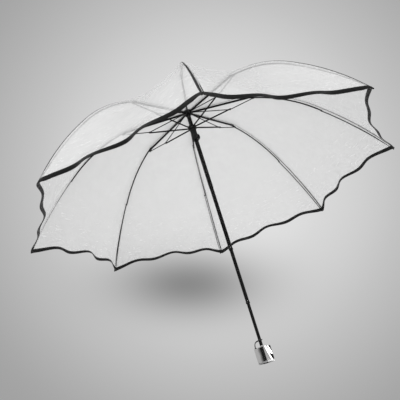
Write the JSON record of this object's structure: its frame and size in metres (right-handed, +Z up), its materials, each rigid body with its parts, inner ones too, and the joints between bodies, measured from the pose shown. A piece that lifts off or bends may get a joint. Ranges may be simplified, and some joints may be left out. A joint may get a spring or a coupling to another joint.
{
  "type": "folding umbrella",
  "caption": "Open clear dome umbrella with black ribs and bound hem, telescoping shaft, sliding runner and a small square handle with wrist strap.",
  "frame": {"origin": "centre of the handle's bottom face", "axes": "+Z up the shaft towards the crown; +X along the first rib"},
  "size_m": [0.9716, 0.9716, 0.6997],
  "materials": {
    "black_steel": "black paint, satin",
    "chrome_handle": "mirror bright plating",
    "satin_base": "satin",
    "black_plastic": "moulded, satin",
    "pin_steel": "plain",
    "clear_film": "clear flexible film",
    "black_tape": "woven binding tape",
    "black_cord": "thin round cord"
  },
  "bodies": {
    "handle": {"handle_block": "chrome_handle", "handle_base": "satin_base", "strap_eyelet": "satin_base", "wrist_strap": "black_cord", "shaft_tube_4": "black_steel"},
    "lower_tube": {"shaft_tube_3": "black_steel"},
    "middle_tube": {"shaft_tube_2": "black_steel"},
    "upper_shaft": {"shaft_tube_1": "black_steel", "crown": "black_plastic", "crown_pins": "pin_steel", "ferrule": "black_plastic", "canopy_gores": "clear_film", "hem_binding": "black_tape"},
    "runner": {"runner": "black_plastic", "runner_pins": "pin_steel"},
    "release_button": {"release_button": "black_plastic"},
    "top_rib_1": {"top_rib_1": "black_steel", "brace_1": "black_steel"},
    "top_rib_2": {"top_rib_2": "black_steel", "brace_2": "black_steel"},
    "top_rib_3": {"top_rib_3": "black_steel", "brace_3": "black_steel"},
    "top_rib_4": {"top_rib_4": "black_steel", "brace_4": "black_steel"},
    "top_rib_5": {"top_rib_5": "black_steel", "brace_5": "black_steel"},
    "top_rib_6": {"top_rib_6": "black_steel", "brace_6": "black_steel"},
    "top_rib_7": {"top_rib_7": "black_steel", "brace_7": "black_steel"},
    "top_rib_8": {"top_rib_8": "black_steel", "brace_8": "black_steel"},
    "stretcher_1": {"stretcher_1": "black_steel"},
    "stretcher_2": {"stretcher_2": "black_steel"},
    "stretcher_3": {"stretcher_3": "black_steel"},
    "stretcher_4": {"stretcher_4": "black_steel"},
    "stretcher_5": {"stretcher_5": "black_steel"},
    "stretcher_6": {"stretcher_6": "black_steel"},
    "stretcher_7": {"stretcher_7": "black_steel"},
    "stretcher_8": {"stretcher_8": "black_steel"},
    "middle_rib_1": {"middle_rib_1": "black_steel"},
    "middle_rib_2": {"middle_rib_2": "black_steel"},
    "middle_rib_3": {"middle_rib_3": "black_steel"},
    "middle_rib_4": {"middle_rib_4": "black_steel"},
    "middle_rib_5": {"middle_rib_5": "black_steel"},
    "middle_rib_6": {"middle_rib_6": "black_steel"},
    "middle_rib_7": {"middle_rib_7": "black_steel"},
    "middle_rib_8": {"middle_rib_8": "black_steel"},
    "outer_rib_1": {"outer_rib_1": "black_steel"},
    "outer_rib_2": {"outer_rib_2": "black_steel"},
    "outer_rib_3": {"outer_rib_3": "black_steel"},
    "outer_rib_4": {"outer_rib_4": "black_steel"},
    "outer_rib_5": {"outer_rib_5": "black_steel"},
    "outer_rib_6": {"outer_rib_6": "black_steel"},
    "outer_rib_7": {"outer_rib_7": "black_steel"},
    "outer_rib_8": {"outer_rib_8": "black_steel"}
  },
  "joints": [
    {"name": "lower_tube_slide", "type": "slide", "parent": "handle", "child": "lower_tube", "axis": [0, 0, -1], "range_m": [0, 0.079]},
    {"name": "middle_tube_slide", "type": "slide", "parent": "lower_tube", "child": "middle_tube", "axis": [0, 0, -1], "range_m": [0, 0.128]},
    {"name": "upper_tube_slide", "type": "slide", "parent": "middle_tube", "child": "upper_shaft", "axis": [0, 0, -1], "range_m": [0, 0.165]},
    {"name": "runner_slide", "type": "slide", "parent": "upper_shaft", "child": "runner", "axis": [0, 0, -1], "range_m": [0, 0.169], "deforming": ["canopy_gores", "hem_binding"]},
    {"name": "button_press", "type": "slide", "parent": "runner", "child": "release_button", "axis": [-1, 0, 0], "range_m": [0, 0.0015], "stiffness_N_per_m": 600},
    {"name": "crown_hinge_1", "type": "hinge", "parent": "upper_shaft", "child": "top_rib_1", "pos_m": [0.009, 0, 0.681], "axis": [0, -1, 0], "range_deg": [-77.23, 0]},
    {"name": "crown_hinge_2", "type": "hinge", "parent": "upper_shaft", "child": "top_rib_2", "pos_m": [0.00636, 0.00636, 0.681], "axis": [0.7071, -0.7071, 0], "range_deg": [-77.23, 0]},
    {"name": "crown_hinge_3", "type": "hinge", "parent": "upper_shaft", "child": "top_rib_3", "pos_m": [0, 0.009, 0.681], "axis": [1, 0, 0], "range_deg": [-77.23, 0]},
    {"name": "crown_hinge_4", "type": "hinge", "parent": "upper_shaft", "child": "top_rib_4", "pos_m": [-0.00636, 0.00636, 0.681], "axis": [0.7071, 0.7071, 0], "range_deg": [-77.23, 0]},
    {"name": "crown_hinge_5", "type": "hinge", "parent": "upper_shaft", "child": "top_rib_5", "pos_m": [-0.009, 0, 0.681], "axis": [0, 1, 0], "range_deg": [-77.23, 0]},
    {"name": "crown_hinge_6", "type": "hinge", "parent": "upper_shaft", "child": "top_rib_6", "pos_m": [-0.00636, -0.00636, 0.681], "axis": [-0.7071, 0.7071, 0], "range_deg": [-77.23, 0]},
    {"name": "crown_hinge_7", "type": "hinge", "parent": "upper_shaft", "child": "top_rib_7", "pos_m": [0, -0.009, 0.681], "axis": [-1, 0, 0], "range_deg": [-77.23, 0]},
    {"name": "crown_hinge_8", "type": "hinge", "parent": "upper_shaft", "child": "top_rib_8", "pos_m": [0.00636, -0.00636, 0.681], "axis": [-0.7071, -0.7071, 0], "range_deg": [-77.23, 0]},
    {"name": "stretcher_hinge_1", "type": "hinge", "parent": "runner", "child": "stretcher_1", "pos_m": [0.0082, -0.0027, 0.634], "axis": [0, -1, 0], "range_deg": [0, 78.45]},
    {"name": "stretcher_hinge_2", "type": "hinge", "parent": "runner", "child": "stretcher_2", "pos_m": [0.00771, 0.00389, 0.634], "axis": [0.7071, -0.7071, 0], "range_deg": [0, 78.45]},
    {"name": "stretcher_hinge_3", "type": "hinge", "parent": "runner", "child": "stretcher_3", "pos_m": [0.0027, 0.0082, 0.634], "axis": [1, 0, 0], "range_deg": [0, 78.45]},
    {"name": "stretcher_hinge_4", "type": "hinge", "parent": "runner", "child": "stretcher_4", "pos_m": [-0.00389, 0.00771, 0.634], "axis": [0.7071, 0.7071, 0], "range_deg": [0, 78.45]},
    {"name": "stretcher_hinge_5", "type": "hinge", "parent": "runner", "child": "stretcher_5", "pos_m": [-0.0082, 0.0027, 0.634], "axis": [0, 1, 0], "range_deg": [0, 78.45]},
    {"name": "stretcher_hinge_6", "type": "hinge", "parent": "runner", "child": "stretcher_6", "pos_m": [-0.00771, -0.00389, 0.634], "axis": [-0.7071, 0.7071, 0], "range_deg": [0, 78.45]},
    {"name": "stretcher_hinge_7", "type": "hinge", "parent": "runner", "child": "stretcher_7", "pos_m": [-0.0027, -0.0082, 0.634], "axis": [-1, 0, 0], "range_deg": [0, 78.45]},
    {"name": "stretcher_hinge_8", "type": "hinge", "parent": "runner", "child": "stretcher_8", "pos_m": [0.00389, -0.00771, 0.634], "axis": [-0.7071, -0.7071, 0], "range_deg": [0, 78.45]},
    {"name": "middle_hinge_1", "type": "hinge", "parent": "top_rib_1", "child": "middle_rib_1", "pos_m": [0.176, 0.0027, 0.676], "axis": [0, -1, 0], "range_deg": [0, 203.44]},
    {"name": "middle_hinge_2", "type": "hinge", "parent": "top_rib_2", "child": "middle_rib_2", "pos_m": [0.12254, 0.12636, 0.676], "axis": [0.7071, -0.7071, 0], "range_deg": [0, 203.44]},
    {"name": "middle_hinge_3", "type": "hinge", "parent": "top_rib_3", "child": "middle_rib_3", "pos_m": [-0.0027, 0.176, 0.676], "axis": [1, 0, 0], "range_deg": [0, 203.44]},
    {"name": "middle_hinge_4", "type": "hinge", "parent": "top_rib_4", "child": "middle_rib_4", "pos_m": [-0.12636, 0.12254, 0.676], "axis": [0.7071, 0.7071, 0], "range_deg": [0, 203.44]},
    {"name": "middle_hinge_5", "type": "hinge", "parent": "top_rib_5", "child": "middle_rib_5", "pos_m": [-0.176, -0.0027, 0.676], "axis": [0, 1, 0], "range_deg": [0, 203.44]},
    {"name": "middle_hinge_6", "type": "hinge", "parent": "top_rib_6", "child": "middle_rib_6", "pos_m": [-0.12254, -0.12636, 0.676], "axis": [-0.7071, 0.7071, 0], "range_deg": [0, 203.44]},
    {"name": "middle_hinge_7", "type": "hinge", "parent": "top_rib_7", "child": "middle_rib_7", "pos_m": [0.0027, -0.176, 0.676], "axis": [-1, 0, 0], "range_deg": [0, 203.44]},
    {"name": "middle_hinge_8", "type": "hinge", "parent": "top_rib_8", "child": "middle_rib_8", "pos_m": [0.12636, -0.12254, 0.676], "axis": [-0.7071, -0.7071, 0], "range_deg": [0, 203.44]},
    {"name": "outer_hinge_1", "type": "hinge", "parent": "middle_rib_1", "child": "outer_rib_1", "pos_m": [0.346, 0.0047, 0.577], "axis": [0, -1, 0], "range_deg": [-159.77, 0]},
    {"name": "outer_hinge_2", "type": "hinge", "parent": "middle_rib_2", "child": "outer_rib_2", "pos_m": [0.24134, 0.24798, 0.577], "axis": [0.7071, -0.7071, 0], "range_deg": [-159.77, 0]},
    {"name": "outer_hinge_3", "type": "hinge", "parent": "middle_rib_3", "child": "outer_rib_3", "pos_m": [-0.0047, 0.346, 0.577], "axis": [1, 0, 0], "range_deg": [-159.77, 0]},
    {"name": "outer_hinge_4", "type": "hinge", "parent": "middle_rib_4", "child": "outer_rib_4", "pos_m": [-0.24798, 0.24134, 0.577], "axis": [0.7071, 0.7071, 0], "range_deg": [-159.77, 0]},
    {"name": "outer_hinge_5", "type": "hinge", "parent": "middle_rib_5", "child": "outer_rib_5", "pos_m": [-0.346, -0.0047, 0.577], "axis": [0, 1, 0], "range_deg": [-159.77, 0]},
    {"name": "outer_hinge_6", "type": "hinge", "parent": "middle_rib_6", "child": "outer_rib_6", "pos_m": [-0.24134, -0.24798, 0.577], "axis": [-0.7071, 0.7071, 0], "range_deg": [-159.77, 0]},
    {"name": "outer_hinge_7", "type": "hinge", "parent": "middle_rib_7", "child": "outer_rib_7", "pos_m": [0.0047, -0.346, 0.577], "axis": [-1, 0, 0], "range_deg": [-159.77, 0]},
    {"name": "outer_hinge_8", "type": "hinge", "parent": "middle_rib_8", "child": "outer_rib_8", "pos_m": [0.24798, -0.24134, 0.577], "axis": [-0.7071, -0.7071, 0], "range_deg": [-159.77, 0]}
  ],
  "couplings": [
    {"joint": "crown_hinge_1", "follows": "runner_slide", "rad_per_m": -7.9444},
    {"joint": "crown_hinge_2", "follows": "runner_slide", "rad_per_m": -7.9444},
    {"joint": "crown_hinge_3", "follows": "runner_slide", "rad_per_m": -7.9444},
    {"joint": "crown_hinge_4", "follows": "runner_slide", "rad_per_m": -7.9444},
    {"joint": "crown_hinge_5", "follows": "runner_slide", "rad_per_m": -7.9444},
    {"joint": "crown_hinge_6", "follows": "runner_slide", "rad_per_m": -7.9444},
    {"joint": "crown_hinge_7", "follows": "runner_slide", "rad_per_m": -7.9444},
    {"joint": "crown_hinge_8", "follows": "runner_slide", "rad_per_m": -7.9444},
    {"joint": "stretcher_hinge_1", "follows": "runner_slide", "rad_per_m": 8.0706},
    {"joint": "stretcher_hinge_2", "follows": "runner_slide", "rad_per_m": 8.0706},
    {"joint": "stretcher_hinge_3", "follows": "runner_slide", "rad_per_m": 8.0706},
    {"joint": "stretcher_hinge_4", "follows": "runner_slide", "rad_per_m": 8.0706},
    {"joint": "stretcher_hinge_5", "follows": "runner_slide", "rad_per_m": 8.0706},
    {"joint": "stretcher_hinge_6", "follows": "runner_slide", "rad_per_m": 8.0706},
    {"joint": "stretcher_hinge_7", "follows": "runner_slide", "rad_per_m": 8.0706},
    {"joint": "stretcher_hinge_8", "follows": "runner_slide", "rad_per_m": 8.0706},
    {"joint": "middle_hinge_1", "follows": "runner_slide", "rad_per_m": 20.979},
    {"joint": "middle_hinge_2", "follows": "runner_slide", "rad_per_m": 20.979},
    {"joint": "middle_hinge_3", "follows": "runner_slide", "rad_per_m": 20.979},
    {"joint": "middle_hinge_4", "follows": "runner_slide", "rad_per_m": 20.979},
    {"joint": "middle_hinge_5", "follows": "runner_slide", "rad_per_m": 20.979},
    {"joint": "middle_hinge_6", "follows": "runner_slide", "rad_per_m": 20.979},
    {"joint": "middle_hinge_7", "follows": "runner_slide", "rad_per_m": 20.979},
    {"joint": "middle_hinge_8", "follows": "runner_slide", "rad_per_m": 20.979},
    {"joint": "outer_hinge_1", "follows": "runner_slide", "rad_per_m": -16.469},
    {"joint": "outer_hinge_2", "follows": "runner_slide", "rad_per_m": -16.469},
    {"joint": "outer_hinge_3", "follows": "runner_slide", "rad_per_m": -16.469},
    {"joint": "outer_hinge_4", "follows": "runner_slide", "rad_per_m": -16.469},
    {"joint": "outer_hinge_5", "follows": "runner_slide", "rad_per_m": -16.469},
    {"joint": "outer_hinge_6", "follows": "runner_slide", "rad_per_m": -16.469},
    {"joint": "outer_hinge_7", "follows": "runner_slide", "rad_per_m": -16.469},
    {"joint": "outer_hinge_8", "follows": "runner_slide", "rad_per_m": -16.469}
  ]
}
